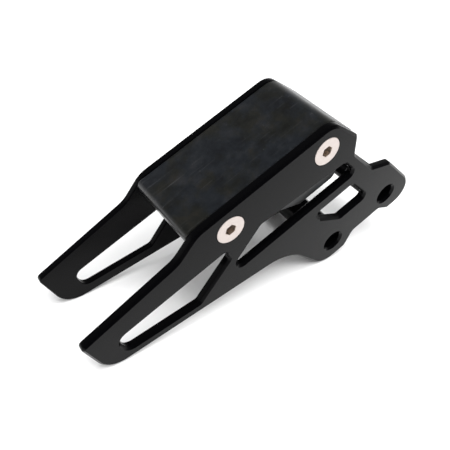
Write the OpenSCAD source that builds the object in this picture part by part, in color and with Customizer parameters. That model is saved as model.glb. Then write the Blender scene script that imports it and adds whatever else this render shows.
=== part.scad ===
// Rear chain guard: two chamfered side plates clamped onto a rubber wear block,
// with a spacer tube between the plates at each mounting hole.
// The part stands on the tips of its arms and on its front feet.

/* [Overall] */
// Width over the outer faces of the two plates
guard_w = 40; // [36:0.5:46]
// Thickness of a side plate
plate_t = 3.5; // [3:0.1:4.5]
// Chamfer round the outer face of a plate
face_chamfer = 1; // [0.5:0.1:1.2]
// Small chamfer round the inner face of a plate
inner_chamfer = 0.3; // [0.2:0.1:0.6]

/* [Clamp screws] */
// Distance between the front and the rear clamp screw
screw_pitch = 45.7; // [40:0.5:52]
// Diameter of a screw's countersunk head
head_d = 12; // [10:0.2:12.6]
// Diameter of a screw's shank
shank_d = 6; // [5:0.5:6]
// Length of a screw, head included
screw_l = 14; // [10:1:15]
// Width across the flats of a screw's hexagon socket
socket_w = 4; // [3:0.5:4.5]
// Depth of the hexagon socket
socket_deep = 2.4; // [1.5:0.1:3]
// Outside diameter of the threaded sleeves in the block
sleeve_d = 10; // [9:0.5:12]

/* [Side plate outline] */
// Height of the top edge above the screw line
top_h = 10; // [9:0.5:12]
// How far the arm reaches ahead of the front screw
arm_reach = 65.4; // [55:0.5:75]
// Height of the upright front end of the arm
tip_h = 21.8; // [18:0.2:24]
// Radius of the lower corner of the arm's front end
tip_r = 10; // [6:0.5:11]
// Slope of the arm's top edge in degrees
arm_slope = 5.4; // [3:0.2:8]
// Slope of the arm's lower edge in degrees
belly_slope = 12.8; // [11:0.2:14]
// Slope of the riser from the arm to the top edge in degrees
riser_slope = 29.5; // [24:0.5:36]
// Height of the riser
riser_h = 6.1; // [5:0.1:8]
// How far the top edge starts ahead of the front screw
top_start = 11.6; // [10:0.2:14]
// Distance of the nose behind the front screw
nose_x = 61; // [59:0.5:66]
// Depth of the nose below the screw line
nose_drop = 5; // [4:0.5:7]
// Slope of the edge from the top down to the nose in degrees
shoulder_slope = 57.5; // [52:0.5:62]
// Radius of the shoulder
shoulder_r = 8; // [6:0.5:10]
// Slope of the leg's edges in degrees
leg_slope = 64.7; // [62:0.1:67]
// Distance behind the front screw where the leg leaves the arm's lower edge
leg_x = 17.7; // [14:0.2:20]
// Radius between the arm's lower edge and the leg
hip_r = 22; // [16:1:26]
// Length of the leg's rear edge above the shelf
spine_l = 18.3; // [17:0.1:19]
// Length of the shelf in the rear edge
shelf_l = 11.9; // [10:0.1:13]
// Slope of the shelf in degrees
shelf_slope = 31; // [26:1:36]

/* [Mounting lobes] */
// Diameter of the two mounting holes
hole_d = 9; // [8:0.2:9.4]
// Rear mounting hole, distance behind the front screw
rear_hole_x = 72.7; // [71:0.2:74]
// Rear mounting hole, depth below the screw line
rear_hole_drop = 56.7; // [55.5:0.1:58]
// Front mounting hole, distance behind the front screw
front_hole_x = 40.2; // [39:0.2:41]
// Front mounting hole, depth below the screw line
front_hole_drop = 58.8; // [57:0.1:60]
// Depth of the front foot below the screw line
foot_drop = 70.3; // [69:0.1:72]
// Depth of the rear lobe below the screw line
heel_drop = 69.3; // [68:0.1:71]
// Radius of the front foot
foot_r = 11; // [9:0.5:12]
// Radius of the rear lobe
heel_r = 9; // [8:0.5:10]
// Outside diameter of the spacer tubes
tube_d = 13.4; // [12.6:0.2:15]
// Diameter of the spigot at each end of a tube
spigot_d = 11; // [10.4:0.2:11.6]
// Length of that spigot
spigot_l = 1.5; // [1:0.1:1.8]

/* [Windows] */
// Depth of the arm window's upper edge below the screw line
arm_window_drop = 10; // [9.5:0.1:11]
// Wall between the arm window and the arm's front end
arm_window_wall = 10.3; // [8:0.1:12]
// Slope of the rear edge of the arm window in degrees
arm_window_rise = 30.8; // [28:0.2:34]
// Depth of the long slot's lower edge below the screw line
slot_drop = 24.4; // [23.5:0.1:25.5]
// Depth of the leg window's upper edge below the screw line
leg_window_drop = 31; // [30:0.1:32]
// Height of the leg window
leg_window_h = 15; // [12:0.1:16]

/* [Wear block] */
// How far the block reaches ahead of the front screw
block_front = 15.1; // [14:0.1:16]
// Height of the lip at the block's upper front edge
lip_h = 7.6; // [6:0.1:9]
// How far the lip stands out over the block's front face
lip_step = 1.8; // [1:0.1:2.2]
// How far the block's top lies below the plates' top edge
block_sink = 0.3; // [0:0.1:1]
// Depth of the block's front part below the screw line
block_drop = 15; // [12:0.5:15.5]
// Depth of the block's belly below the screw line
belly_drop = 22; // [20:0.5:22.5]
// Radius along the block's upper front edge
block_edge_r = 2.6; // [1.5:0.1:3]

/* [Hidden] */

// One pass of the drill reaches this far past a face
past = 0.5;
// Running clearance round a screw and a sleeve, seating clearance of a spigot
screw_gap = 0.2;
sleeve_gap = 0.05;
seat_gap = 0.05;
// Rim of the countersink outside the screw's head
sink_rim = 0.12;
// Number of straight steps in a quarter turn of a rounded corner
quarter_steps = 6;
bore_fn = 64;

black_anodised = [0.10, 0.10, 0.11];
black_rubber = [0.13, 0.13, 0.15];
stainless = [0.80, 0.78, 0.74];
zinc = [0.62, 0.63, 0.65];

gap_w = guard_w - 2 * plate_t;
half_gap = gap_w / 2;
half_w = guard_w / 2;
// The head's cone lies on the countersink's, under a short cylindrical rim
head_rim = 2 * sink_rim;
head_h = (head_d - shank_d) / 2 + sink_rim;

// Plane geometry of the side view: x runs to the rear, the second value up,
// and the front clamp screw is at [0, 0].
function heading(a) = [cos(a), sin(a)];
function step(p, a, l) = p + l * heading(a);
function cross2(a, b) = a[0] * b[1] - a[1] * b[0];
// Where the line through p at angle a meets the line through q at angle b
function meet(p, a, q, b) =
    p + heading(a) * cross2(q - p, heading(b)) / cross2(heading(a), heading(b));

// A closed outline is a list of [x, z, r] corners taken anticlockwise.
function at(c, i) = [c[(i + len(c)) % len(c)][0], c[(i + len(c)) % len(c)][1]];
function bearing(v) = atan2(v[1], v[0]);
function wrap(a) = a > 180 ? wrap(a - 360) : a <= -180 ? wrap(a + 360) : a;
function bend(c, i) = wrap(bearing(at(c, i + 1) - at(c, i)) - bearing(at(c, i) - at(c, i - 1)));
function side(c, i) = bend(c, i) > 0 ? 1 : -1;
// Centre of the arc that rounds corner i
function arc_centre(c, i) =
    let(a = bearing(at(c, i) - at(c, i - 1)), t = c[i][2] * tan(abs(bend(c, i)) / 2))
    at(c, i) - t * heading(a) + c[i][2] * side(c, i) * heading(a + 90);
// The rounded outline, drawn in by d all round
function rounded(c, d) = [
    for (i = [0:len(c) - 1])
        let(a = bearing(at(c, i) - at(c, i - 1)), b = bend(c, i),
            n = max(2, ceil(abs(b) / 90 * quarter_steps)), m = arc_centre(c, i),
            r = c[i][2] - side(c, i) * d)
        for (k = [0:n]) m + side(c, i) * r * heading(a - 90 + b * k / n)];

// A slab of an outline between levels [height, inset], the insets making its chamfers
module slab(c, levels) {
    rings = [for (l = levels) [for (p = rounded(c, l[1])) [p[0], p[1], l[0]]]];
    n = len(rings[0]);
    last = len(rings) - 1;
    polyhedron(
        points = [for (r = rings) each r],
        faces = [
            [for (i = [0:n - 1]) i],
            for (k = [0:last - 1]) for (i = [0:n - 1])
                [k * n + i, (k + 1) * n + i, (k + 1) * n + (i + 1) % n, k * n + (i + 1) % n],
            [for (i = [n - 1:-1:0]) last * n + i]],
        convexity = 8);
}

// Corners of the plate
riser_top = [-top_start, top_h];
riser_foot = step(riser_top, 180 + riser_slope, riser_h / sin(riser_slope));
tip_top = meet(riser_foot, arm_slope, [-arm_reach, 0], 90);
tip_foot = tip_top - [0, tip_h];
hip = meet(tip_foot, -belly_slope, [leg_x, 0], 90);
foot_front = meet(hip, -leg_slope, [0, -foot_drop], 0);
toe = [front_hole_x + 5.7, -foot_drop];
recess_drop = heel_drop - 5.1;
recess_front = meet(toe, 45, [0, -recess_drop], 0);
recess_rear = [rear_hole_x - 5, -recess_drop];
heel_front = meet(recess_rear, -45, [0, -heel_drop], 0);
nose = [nose_x, -nose_drop];
notch = nose + [-2.4, -9.4];
shelf_start = step(notch, -leg_slope, spine_l);
shelf_end = step(shelf_start, -shelf_slope, shelf_l);
heel_rear = meet(shelf_end, -leg_slope, [0, -heel_drop], 0);
shoulder = meet([0, top_h], 0, nose, 180 - shoulder_slope);

function corner(p, r) = [p[0], p[1], r];
plate_corners = [
    corner(tip_top, 2), corner(tip_foot, tip_r), corner(hip, hip_r), corner(foot_front, foot_r),
    corner(toe, 1.6), corner(recess_front, 3), corner(recess_rear, 3), corner(heel_front, 1.6),
    corner(heel_rear, heel_r), corner(shelf_end, 2.6), corner(shelf_start, 3), corner(notch, 3.5),
    corner(nose, 2), corner(shoulder, shoulder_r), corner(riser_top, 12), corner(riser_foot, 12)];

// Corners of the three windows
arm_window_front = -arm_reach + arm_window_wall;
arm_window_rear = -5.4;
arm_window_bend = [-24.1, -26.3];
arm_window = [
    [arm_window_front, -arm_window_drop, 4],
    corner(meet(arm_window_bend, 180 - belly_slope, [arm_window_front, 0], 90), 4),
    corner(arm_window_bend, 1.8),
    corner(meet(arm_window_bend, arm_window_rise, [arm_window_rear, 0], 90), 1.6),
    [arm_window_rear, -arm_window_drop, 1.6]];

slot_peak = [11.5, -10.7];
slot_front = -3.4;
slot_rear = [57.6, -slot_drop];
long_slot = [
    corner(meet(slot_peak, 32, [slot_front, 0], 90), 1.5),
    [slot_front, -slot_drop, 2.4],
    corner(slot_rear, 2.6),
    corner(meet(slot_peak, -arm_slope, slot_rear, 180 - leg_slope), 2.6),
    corner(slot_peak, 1.8)];

leg_window_rear = [62.2, -leg_window_drop - leg_window_h];
leg_window = [
    [35.4, -leg_window_drop, 1.6],
    [36.6, -leg_window_drop - 5.2, 2.2],
    [46.4, -leg_window_drop - leg_window_h, 1.8],
    corner(leg_window_rear, 2.6),
    corner(meet([0, -leg_window_drop], 0, leg_window_rear, 180 - leg_slope), 3)];

screws_at = [[0, 0], [screw_pitch, 0]];
holes_at = [[front_hole_x, -front_hole_drop], [rear_hole_x, -rear_hole_drop]];

// Corners of the wear block's side view
block_top = top_h - block_sink;
block_nose = nose + [0.2, 0];
block_corners = [
    [-block_front, block_top, block_edge_r],
    [-block_front, block_top - lip_h, 1.4],
    [-block_front + lip_step, block_top - lip_h - 1.5, 0.8],
    [-block_front + lip_step, -block_drop, 1.5],
    [19, -block_drop, 6],
    corner(meet([19, -block_drop], -30, [0, -belly_drop], 0), 6),
    [48.8, -belly_drop, 3.6],
    corner(block_nose, 1.8),
    corner(meet([0, block_top], 0, block_nose, 180 - shoulder_slope), shoulder_r)];

// The part stands on the round of the arm tips and the round of the front feet.
tip_arc = arc_centre(plate_corners, 1);
foot_arc = arc_centre(plate_corners, 3);
reach = foot_arc - tip_arc;
stand_tilt = -bearing(reach) + asin((foot_r - tip_r) / norm(reach));
function stand(p) = [p[0] * cos(stand_tilt) - p[1] * sin(stand_tilt),
                     p[0] * sin(stand_tilt) + p[1] * cos(stand_tilt)];
stood = [for (p = rounded(plate_corners, 0)) stand(p)];
floor_z = stand(foot_arc)[1] - foot_r;
middle_x = (min([for (p = stood) p[0]]) + max([for (p = stood) p[0]])) / 2;

// Puts a shape drawn in the side view, with its height towards the left, into place
module upright() {
    translate([-middle_x, 0, -floor_z]) rotate([90, -stand_tilt, 0]) children();
}

// The same, at a point of the side view
module across(p) {
    upright() translate([p[0], p[1], 0]) children();
}

module mirrored_for(hand) {
    if (hand > 0) children();
    else mirror([0, 1, 0]) children();
}

// Cuts a window through a flat plate, with its chamfers
module window_cut(c) {
    slab(c, [
        [-past, -inner_chamfer - past], [inner_chamfer, 0],
        [plate_t - face_chamfer, 0], [plate_t + past, -face_chamfer - past]]);
}

// The chamfered blank with its windows, lying on its inner face.
// The resize keeps its size: it closes the blank into one mesh before the bores are cut.
module blank() {
    resize([0, 0, plate_t]) difference() {
        slab(plate_corners, [
            [0, inner_chamfer], [inner_chamfer, 0],
            [plate_t - face_chamfer, 0], [plate_t, face_chamfer]]);
        for (c = [arm_window, long_slot, leg_window]) window_cut(c);
    }
}

module flat_plate() {
    sink_r = head_d / 2 + sink_rim;
    bore_r = shank_d / 2 + screw_gap;
    difference() {
        blank();
        for (p = screws_at) translate([p[0], p[1], 0]) {
            translate([0, 0, -past]) cylinder(h = plate_t + 2 * past, r = bore_r, $fn = bore_fn);
            translate([0, 0, plate_t - sink_r + bore_r])
                cylinder(h = sink_r - bore_r + past, r1 = bore_r, r2 = sink_r + past, $fn = bore_fn);
        }
        for (p = holes_at) translate([p[0], p[1], 0]) {
            translate([0, 0, -past]) cylinder(h = plate_t + 2 * past, d = hole_d, $fn = bore_fn);
            translate([0, 0, -past])
                cylinder(h = past + spigot_l + seat_gap, d = spigot_d + 2 * seat_gap, $fn = bore_fn);
            translate([0, 0, plate_t - face_chamfer])
                cylinder(h = face_chamfer + past, r1 = hole_d / 2,
                         r2 = hole_d / 2 + face_chamfer + past, $fn = bore_fn);
        }
    }
}

module side_plate(hand) {
    color(black_anodised) mirrored_for(hand)
        translate([0, -half_gap, 0]) upright() flat_plate();
}

module left_side_plate() side_plate(1);
module right_side_plate() side_plate(-1);

module wear_block() {
    edge = 0.6;
    color(black_rubber) difference() {
        translate([0, half_gap, 0]) upright()
            slab(block_corners, [[0, edge], [edge, 0], [gap_w - edge, 0], [gap_w, edge]]);
        for (p = screws_at) across(p)
            cylinder(h = gap_w + 2 * past, d = sleeve_d + 2 * sleeve_gap, center = true, $fn = bore_fn);
    }
}

module threaded_sleeve(p) {
    lead = 0.6;
    bore_r = shank_d / 2 + sleeve_gap;
    color(zinc) across(p) difference() {
        cylinder(h = gap_w, d = sleeve_d, center = true, $fn = bore_fn);
        cylinder(h = gap_w + 2 * past, r = bore_r, center = true, $fn = bore_fn);
        for (m = [0, 1]) mirror([0, 0, m]) translate([0, 0, half_gap - lead])
            cylinder(h = lead + past, r1 = bore_r, r2 = bore_r + lead + past, $fn = bore_fn);
    }
}

module front_threaded_sleeve() threaded_sleeve(screws_at[0]);
module rear_threaded_sleeve() threaded_sleeve(screws_at[1]);

// A countersunk screw with a hexagon socket, its head flush with the plate
module screw(hand, p) {
    tip = 0.6;
    body_l = screw_l - head_h - tip;
    color(stainless) mirrored_for(hand) across(p) translate([0, 0, half_w]) difference() {
        union() {
            translate([0, 0, -head_rim]) cylinder(h = head_rim, d = head_d - 2 * sink_rim, $fn = bore_fn);
            translate([0, 0, -head_h]) cylinder(h = head_h - head_rim, d1 = shank_d,
                                                d2 = head_d - 2 * sink_rim, $fn = bore_fn);
            translate([0, 0, -head_h - body_l]) cylinder(h = body_l, d = shank_d, $fn = bore_fn);
            translate([0, 0, -screw_l])
                cylinder(h = tip, d1 = shank_d - 2 * tip, d2 = shank_d, $fn = bore_fn);
        }
        translate([0, 0, -socket_deep])
            cylinder(h = socket_deep + past, d = socket_w / cos(30), $fn = 6);
    }
}

module left_front_screw() screw(1, screws_at[0]);
module left_rear_screw() screw(1, screws_at[1]);
module right_front_screw() screw(-1, screws_at[0]);
module right_rear_screw() screw(-1, screws_at[1]);

// A tube between the plates, located in them by a spigot at each end
module spacer_tube(p) {
    color(black_anodised) across(p) difference() {
        union() {
            cylinder(h = gap_w, d = tube_d, center = true, $fn = bore_fn);
            cylinder(h = gap_w + 2 * spigot_l, d = spigot_d, center = true, $fn = bore_fn);
        }
        cylinder(h = gap_w + 2 * spigot_l + 2 * past, d = hole_d, center = true, $fn = bore_fn);
    }
}

module front_spacer_tube() spacer_tube(holes_at[0]);
module rear_spacer_tube() spacer_tube(holes_at[1]);

left_side_plate();
right_side_plate();
wear_block();
front_threaded_sleeve();
rear_threaded_sleeve();
left_front_screw();
left_rear_screw();
right_front_screw();
right_rear_screw();
front_spacer_tube();
rear_spacer_tube();
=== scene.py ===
# %% [markdown]
# # Rear chain guard, looks
#
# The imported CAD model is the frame. Every piece below, apart from the two hidden sleeves, is built in the
# same place as its CAD node, with finer corners and a small break on each edge, so that light runs along
# the edges as it does on machined metal. Lengths are written in millimetres and turned into metres once.

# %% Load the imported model
import math

import bpy
import numpy as np
from mathutils import Matrix, Vector
from mathutils.geometry import tessellate_polygon


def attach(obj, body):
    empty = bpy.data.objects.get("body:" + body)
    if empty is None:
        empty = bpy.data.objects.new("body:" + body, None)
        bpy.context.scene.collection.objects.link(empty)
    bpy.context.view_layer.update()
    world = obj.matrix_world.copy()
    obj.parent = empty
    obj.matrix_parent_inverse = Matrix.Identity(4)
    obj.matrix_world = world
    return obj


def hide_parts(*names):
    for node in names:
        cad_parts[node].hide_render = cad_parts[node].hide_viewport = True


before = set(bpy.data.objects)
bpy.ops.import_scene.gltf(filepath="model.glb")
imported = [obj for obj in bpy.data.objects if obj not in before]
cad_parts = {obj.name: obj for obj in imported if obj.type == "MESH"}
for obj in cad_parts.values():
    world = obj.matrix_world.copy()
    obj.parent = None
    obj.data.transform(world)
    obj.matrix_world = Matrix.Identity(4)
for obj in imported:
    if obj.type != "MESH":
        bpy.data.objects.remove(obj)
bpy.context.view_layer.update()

MM = 0.001
print("CAD nodes:", ", ".join(sorted(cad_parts)))

# %% [markdown]
# ## Sizes
#
# The side view is drawn in the plate's own plane: x runs to the rear, z up, and the front clamp screw is
# the zero. Each corner of an outline is x, z and the radius that rounds it, taken anticlockwise.

# %% Sizes in millimetres
GUARD_W, PLATE_T = 40.0, 3.5
FACE_CHAMFER, INNER_CHAMFER = 1.0, 0.3
HALF_GAP = GUARD_W / 2 - PLATE_T
SCREWS = np.array([[0.0, 0.0], [45.7, 0.0]])
HOLES = np.array([[40.2, -58.8], [72.7, -56.7]])
HEAD_R, SHANK_R, SCREW_L, SOCKET_W, SOCKET_DEEP = 5.88, 3.0, 14.0, 4.0, 2.4
SINK_R, SCREW_BORE_R = 6.12, 3.2
HOLE_R, TUBE_R, SPIGOT_R, SPIGOT_L, SEAT_GAP = 4.5, 6.7, 5.5, 1.5, 0.05
SLEEVE_R = 5.05
TIP_R, FOOT_R = 10.0, 11.0


def heading(degrees):
    """Unit vector at an angle above the x axis."""
    a = math.radians(degrees)
    return np.array([math.cos(a), math.sin(a)])


def meet(p, a, q, b):
    """Point where the line through p at angle a crosses the line through q at angle b."""
    u, v = heading(a), heading(b)
    d = np.subtract(q, p)
    return np.asarray(p, float) + u * (d[0] * v[1] - d[1] * v[0]) / (u[0] * v[1] - u[1] * v[0])


riser_top = np.array([-11.6, 10.0])
riser_foot = riser_top + 6.1 / math.sin(math.radians(29.5)) * heading(209.5)
tip_top = meet(riser_foot, 5.4, (-65.4, 0), 90)
tip_foot = tip_top - (0, 21.8)
hip = meet(tip_foot, -12.8, (17.7, 0), 90)
foot_front = meet(hip, -64.7, (0, -70.3), 0)
toe = np.array([45.9, -70.3])
recess_front = meet(toe, 45, (0, -64.2), 0)
recess_rear = np.array([67.7, -64.2])
heel_front = meet(recess_rear, -45, (0, -69.3), 0)
nose = np.array([61.0, -5.0])
notch = nose + (-2.4, -9.4)
shelf_start = notch + 18.3 * heading(-64.7)
shelf_end = shelf_start + 11.9 * heading(-31)
heel_rear = meet(shelf_end, -64.7, (0, -69.3), 0)
shoulder = meet((0, 10), 0, nose, 122.5)
PLATE = [(*tip_top, 2), (*tip_foot, TIP_R), (*hip, 22), (*foot_front, FOOT_R),
         (*toe, 1.6), (*recess_front, 3), (*recess_rear, 3), (*heel_front, 1.6),
         (*heel_rear, 9), (*shelf_end, 2.6), (*shelf_start, 3), (*notch, 3.5),
         (*nose, 2), (*shoulder, 8), (*riser_top, 12), (*riser_foot, 12)]

arm_bend, slot_peak, slot_rear, leg_rear = (-24.1, -26.3), (11.5, -10.7), (57.6, -24.4), (62.2, -46.0)
ARM_WINDOW = [(-55.1, -10, 4), (*meet(arm_bend, 167.2, (-55.1, 0), 90), 4), (*arm_bend, 1.8),
              (*meet(arm_bend, 30.8, (-5.4, 0), 90), 1.6), (-5.4, -10, 1.6)]
LONG_SLOT = [(*meet(slot_peak, 32, (-3.4, 0), 90), 1.5), (-3.4, -24.4, 2.4), (*slot_rear, 2.6),
             (*meet(slot_peak, -5.4, slot_rear, 115.3), 2.6), (*slot_peak, 1.8)]
LEG_WINDOW = [(35.4, -31, 1.6), (36.6, -36.2, 2.2), (46.4, -46, 1.8), (*leg_rear, 2.6),
              (*meet((0, -31), 0, leg_rear, 115.3), 3)]

block_nose = nose + (0.2, 0)
BLOCK = [(-15.1, 9.7, 2.6), (-15.1, 2.1, 1.4), (-13.3, 0.6, 0.8), (-13.3, -15, 1.5), (19, -15, 6),
         (*meet((19, -15), -30, (0, -22), 0), 6),
         (48.8, -22, 3.6), (*block_nose, 1.8), (*meet((0, 9.7), 0, block_nose, 122.5), 8)]
print("plate corners:", len(PLATE), "block corners:", len(BLOCK))

# %% [markdown]
# ## Outlines
#
# A rounded corner is an arc that touches both of its sides. Its centre is the radius away from the
# incoming side, at the distance radius times tan(half the turn) before the corner. Drawing the outline in
# by some inset only changes the arcs' radii. So all insets of one outline have the same number of points
# and can be joined into walls.

# %% Rounded outlines and circles
def arc_loop(corners, inset=0.0, steps=12):
    """Closed outline of rounded corners.

    Point = centre + (radius - side * inset) * the start direction turned by k / steps of the bend.
    """
    c = np.asarray(corners, float)
    p, r = c[:, :2], c[:, 2]
    u = p - np.roll(p, 1, 0)
    u /= np.linalg.norm(u, axis=1, keepdims=True)
    v = np.roll(u, -1, 0)
    turn = np.arctan2(u[:, 0] * v[:, 1] - u[:, 1] * v[:, 0], (u * v).sum(1))
    side = np.sign(turn)
    left = np.stack([-u[:, 1], u[:, 0]], 1)
    centre = p - (r * np.tan(abs(turn) / 2))[:, None] * u + (side * r)[:, None] * left
    start = -left * side[:, None]
    a = turn[:, None] * np.linspace(0, 1, steps + 1)
    x = start[:, :1] * np.cos(a) - start[:, 1:] * np.sin(a)
    z = start[:, :1] * np.sin(a) + start[:, 1:] * np.cos(a)
    return (centre[:, None] + (r - side * inset)[:, None, None] * np.stack([x, z], -1)).reshape(-1, 2)


def arc_centre(corners, i):
    """Centre of corner i's arc: drawn in by its own radius, a left-hand arc shrinks to its centre."""
    return arc_loop(corners, corners[i][2], 2).reshape(len(corners), 3, 2)[i, 0]


def circle(centre, r, n=72):
    """Circle round a centre, anticlockwise: centre + r * (cos, sin)."""
    t = np.linspace(0, 2 * np.pi, n, endpoint=False)
    return np.asarray(centre) + r * np.stack([np.cos(t), np.sin(t)], 1)


def eased(points, r, steps=3):
    """A profile line with a small round at every inner corner.

    The round is the quadratic curve from r before the corner to r after it.
    """
    p = np.asarray(points, float)
    a, b, c = p[:-2], p[1:-1], p[2:]
    reach = lambda q: np.minimum(r, 0.45 * np.linalg.norm(q - b, axis=1, keepdims=True))
    start = b + (a - b) / np.linalg.norm(a - b, axis=1, keepdims=True) * reach(a)
    end = b + (c - b) / np.linalg.norm(c - b, axis=1, keepdims=True) * reach(c)
    t = np.linspace(0, 1, steps + 1)[None, :, None]
    curve = (1 - t) ** 2 * start[:, None] + 2 * t * (1 - t) * b[:, None] + t ** 2 * end[:, None]
    return np.vstack([p[:1], curve.reshape(-1, 2), p[-1:]])


reach = arc_centre(PLATE, 3) - arc_centre(PLATE, 1)
TILT = -math.atan2(reach[1], reach[0]) + math.asin((FOOT_R - TIP_R) / np.linalg.norm(reach))


def stand(p):
    """Side view to the row frame's x and z: turned by the tilt, then moved onto the floor's zero."""
    p = np.asarray(p, float)
    c, s = math.cos(TILT), math.sin(TILT)
    return np.stack([p[..., 0] * c - p[..., 1] * s - MIDDLE_X, p[..., 0] * s + p[..., 1] * c - FLOOR_Z], -1)


MIDDLE_X = FLOOR_Z = 0.0
stood = stand(arc_loop(PLATE))
MIDDLE_X, FLOOR_Z = (stood[:, 0].min() + stood[:, 0].max()) / 2, stood[:, 1].min()
print(f"the part leans back {math.degrees(TILT):.2f} degrees from its plate frame")

# %% [markdown]
# ## From outlines to closed meshes
#
# A solid is a set of walls and caps. A wall joins a stack of outlines, and a cap fills the level between
# outer and inner outlines. In the (x, z, height) system an anticlockwise outer wall faces outwards, and a
# hole's wall faces into the hole.

# %% Walls, caps and objects
def new_solid():
    """An empty solid: lists of points and faces, and the number of points so far."""
    return {"co": [], "faces": [], "count": 0}


def wall(solid, loops, heights, hole=False):
    """Joins a stack of outlines by quads: points i and i + 1 of level k with the same ones of level k + 1."""
    loops = np.asarray(loops, float)
    levels, n = loops.shape[:2]
    z = np.broadcast_to(np.asarray(heights, float)[:, None], (levels, n))
    solid["co"].append(np.dstack([loops[..., 0], loops[..., 1], z]).reshape(-1, 3))
    ids = solid["count"] + np.arange(levels * n).reshape(levels, n)
    nxt = np.roll(ids, -1, 1)
    quads = np.stack([ids[:-1], nxt[:-1], nxt[1:], ids[1:]], -1).reshape(-1, 4)
    solid["faces"] += (quads[:, ::-1] if hole else quads).tolist()
    solid["count"] += levels * n
    return ids[0], ids[-1]


def cap(solid, rings, up):
    """Fills the area between the first ring and the others with triangles, all turned to face up or down."""
    co = np.vstack(solid["co"])
    flat = np.concatenate(rings)
    tris = np.array(tessellate_polygon([[Vector((*co[i, :2], 0)) for i in ring] for ring in rings]))
    a, b, c = (co[flat[tris[:, k]], :2] for k in range(3))
    area = (b[:, 0] - a[:, 0]) * (c[:, 1] - a[:, 1]) - (b[:, 1] - a[:, 1]) * (c[:, 0] - a[:, 0])
    ids = flat[tris]
    ids[(area < 0) == up] = ids[(area < 0) == up][:, ::-1]
    solid["faces"] += ids[area != 0].tolist()


def make_object(name, solid, base, hand, material, nodes):
    """Puts a solid into the row frame: y = hand * (base + height), so hand -1 is the near side."""
    co = np.vstack(solid["co"])
    xz = stand(co[:, :2])
    row = np.stack([xz[:, 0], hand * (base + co[:, 2]), xz[:, 1]], 1) * MM
    faces = solid["faces"] if hand < 0 else [f[::-1] for f in solid["faces"]]
    mesh = bpy.data.meshes.new(name)
    mesh.from_pydata(row.tolist(), [], faces)
    mesh.validate()
    mesh.shade_smooth()
    mesh.set_sharp_from_angle(angle=math.radians(27))
    ob = bpy.data.objects.new(name, mesh)
    bpy.context.scene.collection.objects.link(ob)
    mesh.materials.append(material)
    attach(ob, "root")
    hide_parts(*nodes)
    open_edges = len(mesh.edges) * 2 - sum(len(p.vertices) for p in mesh.polygons)
    print(f"{name}: {len(mesh.polygons)} faces, open edges {open_edges}")
    return ob


print("a solid starts empty:", new_solid())

# %% [markdown]
# ## Materials
#
# Finishes are given as the sRGB hex a photo would show and turned into linear light once. The greys of the
# paper and the world are linear as written. Patterns take their size in millimetres: a noise of one cell
# per s mm has the scale 1000 / s in a frame of metres.

# %% Material helpers
def linear(hex_colour):
    """sRGB hex to linear RGBA.

    Up to 0.04045 a channel becomes c / 12.92, and above it ((c + 0.055) / 1.055) to the power 2.4.
    """
    c = np.array([int(hex_colour[i:i + 2], 16) for i in (1, 3, 5)]) / 255
    return (*np.where(c <= 0.04045, c / 12.92, ((c + 0.055) / 1.055) ** 2.4).tolist(), 1.0)


def per_mm(size):
    """Texture scale that gives one cell per size millimetres."""
    return 1000.0 / size


def node(tree, kind, settings=None, **links):
    """Adds a node, sets its properties and sockets by name, and links the outputs that are given."""
    n = tree.nodes.new(kind)
    for key, value in (settings or {}).items():
        if hasattr(n, key):
            setattr(n, key, value)
        else:
            n.inputs[key].default_value = value
    for key, value in links.items():
        tree.links.new(value, n.inputs[key.replace("_", " ")])
    return n


def new_material(name):
    """A material with an empty node tree, and that tree."""
    m = bpy.data.materials.new(name)
    m.use_nodes = True
    m.node_tree.nodes.clear()
    return m, m.node_tree


def close(tree, shader):
    """Links the shader to the material's output."""
    node(tree, "ShaderNodeOutputMaterial", Surface=shader.outputs["BSDF"])


def ramp(tree, fac, stops):
    """Colour ramp over fac with stops of position and linear colour or grey."""
    r = node(tree, "ShaderNodeValToRGB", Fac=fac)
    e = r.color_ramp.elements
    for i, (pos, colour) in enumerate(stops):
        item = e[i] if i < 2 else e.new(pos)
        item.position = pos
        item.color = colour if isinstance(colour, tuple) else (colour, colour, colour, 1)
    return r


def mixed(tree, blend, fac, first, second):
    """Mixes a colour output with a fixed colour by a grey factor."""
    m = node(tree, "ShaderNodeMix", {"data_type": "RGBA", "blend_type": blend})
    tree.links.new(fac, m.inputs["Factor"])
    tree.links.new(first, m.inputs["A"])
    m.inputs["B"].default_value = second
    return m


print("middle grey #808080 in linear light:", round(linear("#808080")[0], 3))

# %% [markdown]
# ## Finishes
#
# Black anodised aluminium is a dark dyed oxide with a clear, slightly rough top. The blasted grain is
# finer than half a millimetre. The rubber is dark and a little blue, with olive patches, a few specks of
# dust, and fine scuffs along the way that things drag over it. The screws are turned steel: their rings
# follow the distance from the screw's own axis, which is stored on the mesh.

# %% Finishes
TURNING_PITCH = 0.32


def anodised_black():
    """Near-black base under a weak clear reflection, with a fine grain and slow changes of gloss."""
    m, t = new_material("black anodised aluminium")
    co = node(t, "ShaderNodeTexCoord").outputs["Object"]
    grain = node(t, "ShaderNodeTexNoise", {"Scale": per_mm(0.28), "Detail": 3.0, "Roughness": 0.6}, Vector=co)
    smear = node(t, "ShaderNodeTexNoise", {"Scale": per_mm(14), "Detail": 4.0, "Roughness": 0.55}, Vector=co)
    rough = node(t, "ShaderNodeMapRange", {"From Min": 0.3, "From Max": 0.7, "To Min": 0.20, "To Max": 0.27},
                 Value=smear.outputs["Fac"])
    bump = node(t, "ShaderNodeBump", {"Strength": 0.10, "Distance": 0.02 * MM}, Height=grain.outputs["Fac"])
    s = node(t, "ShaderNodeBsdfPrincipled", {
        "Base Color": linear("#040405"), "IOR": 1.5, "Metallic": 0.0, "Specular IOR Level": 0.08},
             Roughness=rough.outputs["Result"], Normal=bump.outputs["Normal"])
    close(t, s)
    return m


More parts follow.
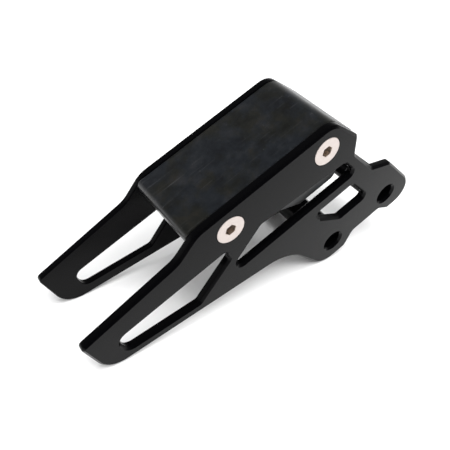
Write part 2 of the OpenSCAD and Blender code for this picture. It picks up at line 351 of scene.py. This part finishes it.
def wear_rubber():
    """Clouds of blue-black, olive patches, scuffs along the top face and specks of dust."""
    m, t = new_material("black moulded rubber")
    co = node(t, "ShaderNodeTexCoord").outputs["Object"]
    cloud = node(t, "ShaderNodeTexNoise", {
        "Scale": per_mm(8), "Detail": 8.0, "Roughness": 0.7, "Distortion": 0.2}, Vector=co)
    dark = ramp(t, cloud.outputs["Fac"],
                [(0.36, linear("#0e1014")), (0.50, linear("#15181c")), (0.66, linear("#1f2023"))])
    patch = node(t, "ShaderNodeTexNoise", {"Scale": per_mm(24), "Detail": 6.0, "Roughness": 0.65}, Vector=co)
    where = ramp(t, patch.outputs["Fac"], [(0.44, 0.0), (0.54, 1.0)])
    olive = mixed(t, "MULTIPLY", where.outputs["Color"], dark.outputs["Color"], linear("#f5e6c0"))
    along = node(t, "ShaderNodeMapping", {
        "vector_type": "TEXTURE", "Rotation": (0, -TILT, 0), "Scale": (45.0, 1.0, 1.0)}, Vector=co)
    scuff = node(t, "ShaderNodeTexNoise", {"Scale": per_mm(0.8), "Detail": 3.0, "Roughness": 0.7},
                 Vector=along.outputs["Vector"])
    line = ramp(t, scuff.outputs["Fac"], [(0.62, 0.0), (0.74, 0.6)])
    scuffed = mixed(t, "MIX", line.outputs["Color"], olive.outputs["Result"], linear("#4a4a4c"))
    dust = node(t, "ShaderNodeTexNoise", {"Scale": per_mm(0.8), "Detail": 2.0, "Roughness": 0.8}, Vector=co)
    speck = ramp(t, dust.outputs["Fac"], [(0.742, 0.0), (0.79, 0.5)])
    specked = mixed(t, "MIX", speck.outputs["Color"], scuffed.outputs["Result"], linear("#6a6866"))
    fine = node(t, "ShaderNodeTexNoise", {"Scale": per_mm(0.9), "Detail": 4.0, "Roughness": 0.65}, Vector=co)
    bumped = node(t, "ShaderNodeBump", {"Strength": 0.35, "Distance": 0.06 * MM}, Height=fine.outputs["Fac"])
    scratched = node(t, "ShaderNodeBump", {"Strength": 0.35, "Distance": 0.05 * MM, "invert": True},
                     Height=line.outputs["Color"], Normal=bumped.outputs["Normal"])
    rough = node(t, "ShaderNodeMapRange", {
        "From Min": 0.35, "From Max": 0.65, "To Min": 0.30, "To Max": 0.38}, Value=cloud.outputs["Fac"])
    s = node(t, "ShaderNodeBsdfPrincipled", {"IOR": 1.52, "Specular IOR Level": 0.44},
             Base_Color=specked.outputs["Result"], Roughness=rough.outputs["Result"],
             Normal=scratched.outputs["Normal"])
    close(t, s)
    return m


def turned_steel(name, colour, roughness):
    """Metal whose bump is sin(2 pi * distance / pitch of the turning marks)."""
    m, t = new_material(name)
    co = node(t, "ShaderNodeTexCoord").outputs["Object"]
    ring = node(t, "ShaderNodeAttribute", {"attribute_name": "ring_mm"})
    turns = node(t, "ShaderNodeMath", {"operation": "MULTIPLY"})
    t.links.new(ring.outputs["Fac"], turns.inputs[0])
    turns.inputs[1].default_value = 2 * math.pi / TURNING_PITCH
    wave = node(t, "ShaderNodeMath", {"operation": "SINE"})
    t.links.new(turns.outputs[0], wave.inputs[0])
    stain = node(t, "ShaderNodeTexNoise", {"Scale": per_mm(2.5), "Detail": 4.0}, Vector=co)
    rough = node(t, "ShaderNodeMapRange", {
        "From Min": 0.3, "From Max": 0.7, "To Min": roughness - 0.05, "To Max": roughness + 0.07},
                 Value=stain.outputs["Fac"])
    bump = node(t, "ShaderNodeBump", {"Strength": 0.15, "Distance": 0.01 * MM}, Height=wave.outputs[0])
    s = node(t, "ShaderNodeBsdfPrincipled", {"Base Color": linear(colour), "Metallic": 1.0},
             Roughness=rough.outputs["Result"], Normal=bump.outputs["Normal"])
    close(t, s)
    return m


anodised = anodised_black()
rubber = wear_rubber()
steel = turned_steel("turned stainless steel", "#c7bdb8", 0.38)
socket_steel = turned_steel("socket, oiled steel", "#c6b9ae", 0.46)
zinc = turned_steel("zinc plated steel", "#b9babd", 0.40)
print("materials:", ", ".join(m.name for m in (anodised, rubber, steel, socket_steel, zinc)))

# %% [markdown]
# ## Side plates
#
# The edge's profile goes up the wall and over the chamfer. Its corners are eased by about a tenth of a
# millimetre, which is what tumbling leaves on a machined edge and what the bright line along it comes from.

# %% Side plates
EASE = 0.12
EDGE = eased([(0, INNER_CHAMFER), (INNER_CHAMFER, 0),
              (PLATE_T - FACE_CHAMFER, 0), (PLATE_T, FACE_CHAMFER)], EASE)
SINK = eased([(0, SCREW_BORE_R), (PLATE_T - SINK_R + SCREW_BORE_R, SCREW_BORE_R), (PLATE_T, SINK_R)], EASE)
SEAT_R, SEAT_DEEP = SPIGOT_R + SEAT_GAP, SPIGOT_L + SEAT_GAP
BORE = eased([(0, SEAT_R), (SEAT_DEEP, SEAT_R), (SEAT_DEEP, HOLE_R),
              (PLATE_T - FACE_CHAMFER, HOLE_R), (PLATE_T, HOLE_R + FACE_CHAMFER)], EASE / 2)


def side_plate():
    """Outer wall, three window walls, two countersinks and two bores, closed by an inner and an outer cap."""
    s = new_solid()
    rings = [wall(s, [arc_loop(PLATE, i) for _, i in EDGE], EDGE[:, 0])]
    for window in (ARM_WINDOW, LONG_SLOT, LEG_WINDOW):
        rings.append(wall(s, [arc_loop(window, -i) for _, i in EDGE], EDGE[:, 0], hole=True))
    for p in SCREWS:
        rings.append(wall(s, [circle(p, r) for _, r in SINK], SINK[:, 0], hole=True))
    for p in HOLES:
        rings.append(wall(s, [circle(p, r) for _, r in BORE], BORE[:, 0], hole=True))
    cap(s, [first for first, _ in rings], up=False)
    cap(s, [last for _, last in rings], up=True)
    return s


plate_solid = side_plate()
make_object("plate_left", plate_solid, HALF_GAP, -1, anodised, ["left_side_plate"])
make_object("plate_right", plate_solid, HALF_GAP, 1, anodised, ["right_side_plate"])

# %% [markdown]
# ## Wear block
#
# The block is the same kind of solid, as thick as the gap between the plates, with its long edges rounded.

# %% Wear block
BLOCK_EDGE = 0.6


def wear_block():
    """Outline stacked across the gap.

    Near each side the inset is edge * (1 - sin a) at the height edge * (1 - cos a), a quarter circle.
    """
    a = np.linspace(0, np.pi / 2, 6)
    low = np.stack([BLOCK_EDGE * (1 - np.cos(a)), BLOCK_EDGE * (1 - np.sin(a))], 1)
    high = np.stack([2 * HALF_GAP - low[::-1, 0], low[::-1, 1]], 1)
    profile = np.vstack([low, high])
    s = new_solid()
    rings = [wall(s, [arc_loop(BLOCK, i, 16) for _, i in profile], profile[:, 0])]
    for p in SCREWS:
        rings.append(wall(s, [circle(p, SLEEVE_R)] * 2, [0, 2 * HALF_GAP], hole=True))
    cap(s, [first for first, _ in rings], up=False)
    cap(s, [last for _, last in rings], up=True)
    return s


make_object("rubber_block", wear_block(), -HALF_GAP, -1, rubber, ["wear_block"])

# %% [markdown]
# ## Screws and spacer tubes
#
# A countersunk screw is turned round its axis. Its hexagon socket is a hole with a flat floor.
# The radius of each point is stored as an attribute for the turning marks.

# %% Screws and spacer tubes
def hexagon(centre, flats, r):
    """Corners of a hexagon, rounded by r. They lie at the width across flats / sqrt(3) from the centre."""
    return [(x, z, r) for x, z in circle(centre, flats / math.sqrt(3), 6)]


def mark_rings(ob, centre):
    """Stores each vertex's distance from the axis through centre, in millimetres."""
    co = np.zeros(len(ob.data.vertices) * 3)
    ob.data.vertices.foreach_get("co", co)
    d = co.reshape(-1, 3)[:, [0, 2]] / MM - stand(centre)
    ob.data.attributes.new("ring_mm", "FLOAT", "POINT").data.foreach_set("value", np.hypot(d[:, 0], d[:, 1]))


def screw(centre):
    """Revolved outside from the tip to the head's face at height 0, a hexagon hole and its caps."""
    s = new_solid()
    head_h, rim = SINK_R - SHANK_R, SINK_R - HEAD_R
    outside = eased([(-SCREW_L, SHANK_R - 0.6), (-SCREW_L + 0.6, SHANK_R), (-head_h, SHANK_R), (-rim, HEAD_R),
                     (0, HEAD_R), (0, HEAD_R - 0.4)], 0.10)
    outer = wall(s, [circle(centre, r) for _, r in outside], outside[:, 0])
    hexes = [(-SOCKET_DEEP, 0.0), (-0.2, 0.0), (-0.06, 0.05), (0.0, 0.18)]
    inner = wall(s, [arc_loop(hexagon(centre, SOCKET_W, 0.25), -i, 3) for _, i in hexes],
                 [h for h, _ in hexes], hole=True)
    cap(s, [outer[0]], up=False)
    cap(s, [outer[1], inner[1]], up=True)
    cap(s, [inner[0]], up=True)
    s["first_socket_vertex"] = inner[0][0]
    return s


for hand, side in ((-1, "left"), (1, "right")):
    for p, place in zip(SCREWS, ("front", "rear")):
        solid = screw(p)
        ob = make_object(f"screw_{side}_{place}", solid, GUARD_W / 2, hand, steel,
                         [f"{side}_{place}_screw"])
        mark_rings(ob, p)
        ob.data.materials.append(socket_steel)
        low = np.array([min(f.vertices) for f in ob.data.polygons])
        ob.data.polygons.foreach_set("material_index", (low >= solid["first_socket_vertex"]).astype(np.int32))

GAP = 2 * HALF_GAP
tube_profile = eased([(-SPIGOT_L, SPIGOT_R), (0, SPIGOT_R), (0, TUBE_R),
                      (GAP, TUBE_R), (GAP, SPIGOT_R), (GAP + SPIGOT_L, SPIGOT_R)], 0.08)
for p, place in zip(HOLES, ("front", "rear")):
    s = new_solid()
    outer = wall(s, [circle(p, r) for _, r in tube_profile], tube_profile[:, 0])
    inner = wall(s, [circle(p, HOLE_R)] * 2, [-SPIGOT_L, GAP + SPIGOT_L], hole=True)
    cap(s, [outer[0], inner[0]], up=False)
    cap(s, [outer[1], inner[1]], up=True)
    make_object(f"tube_{place}", s, -HALF_GAP, -1, anodised, [f"{place}_spacer_tube"])

for name in ("front_threaded_sleeve", "rear_threaded_sleeve"):
    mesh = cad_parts[name].data
    mesh.materials.clear()
    mesh.materials.append(zinc)

# %% [markdown]
# ## Floor, light and camera
#
# The floor is white paper and the backdrop a white world. The key light is wide, soft and high above the
# part, so the shadow stays below it. A weaker fill stands to the right of the camera. Neither is mirrored.
# For mirrored rays the studio is bright at the horizon beyond the part and dark above and behind the
# camera. Black surfaces show just that: faces that mirror the paper are grey, and the others stay black.

# %% Floor and light
def white_paper():
    """Matt white with a faint fibre."""
    m, t = new_material("white paper")
    co = node(t, "ShaderNodeTexCoord").outputs["Object"]
    fibre = node(t, "ShaderNodeTexNoise", {"Scale": per_mm(1.5), "Detail": 2.0}, Vector=co)
    bump = node(t, "ShaderNodeBump", {"Strength": 0.02, "Distance": 0.02 * MM}, Height=fibre.outputs["Fac"])
    s = node(t, "ShaderNodeBsdfPrincipled", {
        "Base Color": (0.92, 0.92, 0.92, 1), "Roughness": 0.9, "Specular IOR Level": 0.1},
             Normal=bump.outputs["Normal"])
    close(t, s)
    return m


bpy.ops.mesh.primitive_plane_add(size=1.6, location=(0, 0, 0))
floor = bpy.context.object
floor.name = "floor"
floor.data.materials.append(white_paper())


def area_light(name, place, size, watts):
    """Square area light that looks at the part's middle and isn't mirrored."""
    data = bpy.data.lights.new(name, "AREA")
    data.size, data.energy = size, watts
    ob = bpy.data.objects.new(name, data)
    ob.location = place
    ob.rotation_euler = (Vector((0, 0, 0.03)) - Vector(place)).to_track_quat("-Z", "Y").to_euler()
    ob.visible_glossy = False
    bpy.context.scene.collection.objects.link(ob)


area_light("key", (-0.10, -0.25, 1.1), 0.9, 15.0)
area_light("fill", (0.4, -0.8, 0.8), 0.8, 5.0)

world = bpy.data.worlds.new("studio")
bpy.context.scene.world = world
world.use_nodes = True
wt = world.node_tree
wt.nodes.clear()
direction = node(wt, "ShaderNodeTexCoord").outputs["Generated"]
parts = node(wt, "ShaderNodeSeparateXYZ", Vector=direction)
height = ramp(wt, parts.outputs["Z"], [(0.0, 1.0), (0.18, 0.8), (0.40, 0.2), (0.85, 0.15)])
ahead = node(wt, "ShaderNodeVectorMath", {"operation": "DOT_PRODUCT"})
wt.links.new(direction, ahead.inputs[0])
ahead.inputs[1].default_value = (0.55, 0.83, 0.0)
sides = node(wt, "ShaderNodeMapRange", {"From Min": -0.6, "From Max": 0.3, "To Min": 0.02, "To Max": 1.0},
             Value=ahead.outputs["Value"])
mirrored = node(wt, "ShaderNodeMath", {"operation": "MULTIPLY"})
wt.links.new(height.outputs["Color"], mirrored.inputs[0])
wt.links.new(sides.outputs["Result"], mirrored.inputs[1])
path = node(wt, "ShaderNodeLightPath")
glossy_or_not = node(wt, "ShaderNodeMix", {"data_type": "FLOAT"})
wt.links.new(path.outputs["Is Glossy Ray"], glossy_or_not.inputs["Factor"])
glossy_or_not.inputs["A"].default_value = 0.6
wt.links.new(mirrored.outputs[0], glossy_or_not.inputs["B"])
seen = node(wt, "ShaderNodeMix", {"data_type": "FLOAT"})
wt.links.new(path.outputs["Is Camera Ray"], seen.inputs["Factor"])
wt.links.new(glossy_or_not.outputs["Result"], seen.inputs["A"])
seen.inputs["B"].default_value = 1.0
background = node(wt, "ShaderNodeBackground", {"Color": (1, 1, 1, 1)}, Strength=seen.outputs["Result"])
wt.links.new(background.outputs["Background"], node(wt, "ShaderNodeOutputWorld").inputs["Surface"])
print("lights and world are set")

# %% [markdown]
# The camera was worked out from the photo: its place, its direction, and a roll because the photo isn't
# level.

# %% Camera
CAMERA_PLACE = Vector((-119.37, -125.95, 176.47)) * MM
FORWARD = Vector((0.4909, 0.5616, -0.6660)).normalized()
ROLL = math.radians(8.03)
level_right = FORWARD.cross(Vector((0, 0, 1))).normalized()
level_up = level_right.cross(FORWARD)
right = level_right * math.cos(ROLL) + level_up * math.sin(ROLL)
up = right.cross(FORWARD)
camera_data = bpy.data.cameras.new("camera")
camera_data.sensor_width, camera_data.lens = 36.0, 43.84
camera_data.clip_start, camera_data.clip_end = 0.01, 20.0
camera = bpy.data.objects.new("camera", camera_data)
camera.matrix_world = Matrix.Translation(CAMERA_PLACE) @ Matrix((right, up, -FORWARD)).transposed().to_4x4()
bpy.context.scene.collection.objects.link(camera)
bpy.context.scene.camera = camera
bpy.context.scene.view_settings.view_transform = "Standard"
print("camera at", [round(v, 4) for v in camera.location])
